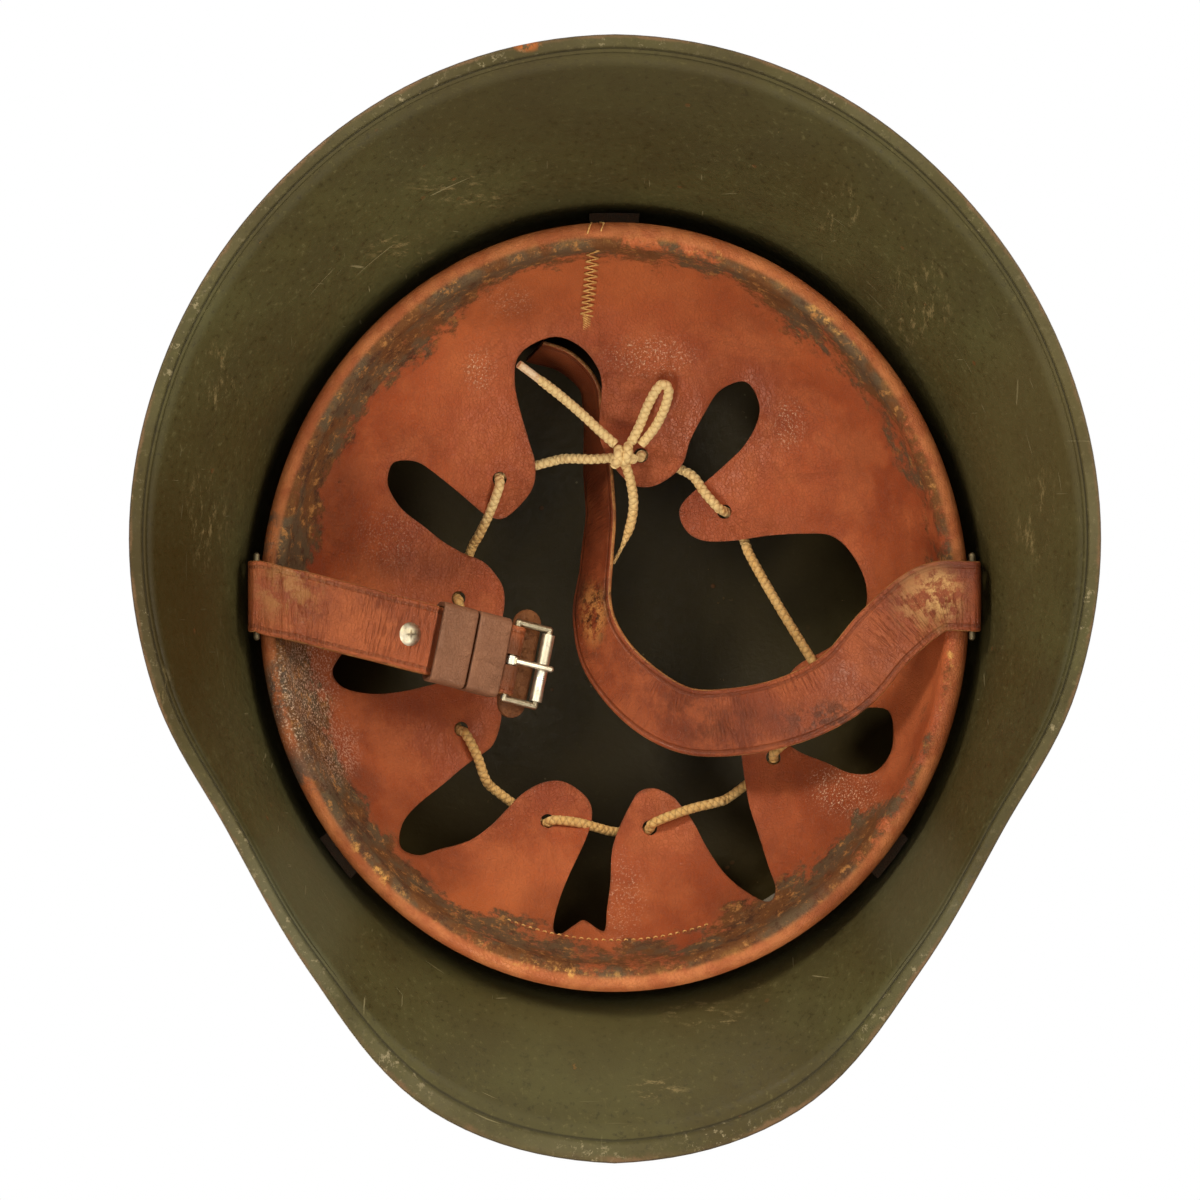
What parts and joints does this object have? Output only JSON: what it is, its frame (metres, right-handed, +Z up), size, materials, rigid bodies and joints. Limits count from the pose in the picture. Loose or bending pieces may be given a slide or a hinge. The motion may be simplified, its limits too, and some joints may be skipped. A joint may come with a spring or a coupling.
{
  "type": "steel helmet",
  "caption": "Steel helmet with a flared skirt, a laced leather liner with fingers and drawcord, and a chin strap with a roller buckle.",
  "frame": {"origin": "under the middle of the rim, on the surface the helmet stands on", "axes": "+Z up to the crown, -Y toward the visor, +X toward the wearer's left"},
  "size_m": [0.2626, 0.3098, 0.17],
  "materials": {
    "shell_paint": "worn matt olive paint",
    "fitting_paint": "worn matt olive paint",
    "liner_hide": "worn, slightly glossy",
    "strap_hide": "worn, slightly glossy",
    "keeper_hide": "dull, darkened",
    "pad_hide": "raw, matt",
    "band_metal": "dull, oxidised",
    "felt": "matt",
    "loop_steel": "dull, stained",
    "nickel": "worn nickel plate",
    "cord_cotton": "matt, plaited"
  },
  "bodies": {
    "helmet": {"shell": "shell_paint", "vent_bush_left": "fitting_paint", "vent_bush_right": "fitting_paint", "liner_rivet_left": "fitting_paint", "liner_rivet_right": "fitting_paint", "liner_rivet_rear": "fitting_paint", "washer_left": "band_metal", "washer_right": "band_metal", "washer_rear": "band_metal", "liner_band": "band_metal", "pad_left": "pad_hide", "pad_right": "pad_hide", "pad_rear": "pad_hide", "liner_felt": "felt", "liner_leather": "liner_hide", "lug_left": "loop_steel", "lug_right": "loop_steel", "loop_left": "loop_steel", "loop_right": "loop_steel", "drawcord": "cord_cotton", "cord_knot": "cord_cotton", "cord_bow": "cord_cotton", "cord_end_long": "cord_cotton", "cord_end_short": "cord_cotton"},
    "buckle_strap": {"strap_left": "strap_hide", "strap_rivet": "nickel", "fixed_keeper": "keeper_hide", "buckle_guard": "strap_hide"},
    "keeper": {"sliding_keeper": "keeper_hide"},
    "buckle": {"buckle_frame": "nickel"},
    "roller": {"buckle_roller": "nickel"},
    "prong": {"buckle_prong": "nickel"},
    "tail_strap": {"strap_right": "strap_hide"}
  },
  "joints": [
    {"name": "buckle_strap_swing", "type": "hinge", "parent": "helmet", "child": "buckle_strap", "pos_m": [0.1008, 0.003, 0.054], "axis": [0, -1, 0], "range_deg": [-6, 122]},
    {"name": "keeper_slide", "type": "slide", "parent": "buckle_strap", "child": "keeper", "axis": [-0.8438, -0.225, 0.4872], "range_m": [-0.0042, 0.0003]},
    {"name": "buckle_swing", "type": "hinge", "parent": "buckle_strap", "child": "buckle", "pos_m": [0.02976, -0.01547, 0.08907], "axis": [0.1948, -0.9744, -0.1125], "range_deg": [0, 36]},
    {"name": "roller_spin", "type": "hinge", "parent": "buckle", "child": "roller", "pos_m": [0.0209, -0.01783, 0.09419], "axis": [0.1948, -0.9744, -0.1125], "continuous": true},
    {"name": "prong_swing", "type": "hinge", "parent": "buckle", "child": "prong", "pos_m": [0.02976, -0.01547, 0.08907], "axis": [0.1948, -0.9744, -0.1125], "range_deg": [0, 30]},
    {"name": "tail_strap_swing", "type": "hinge", "parent": "helmet", "child": "tail_strap", "pos_m": [-0.1008, 0.003, 0.054], "axis": [0, 1, 0], "range_deg": [0, 120], "deforming": ["strap_right"]}
  ]
}
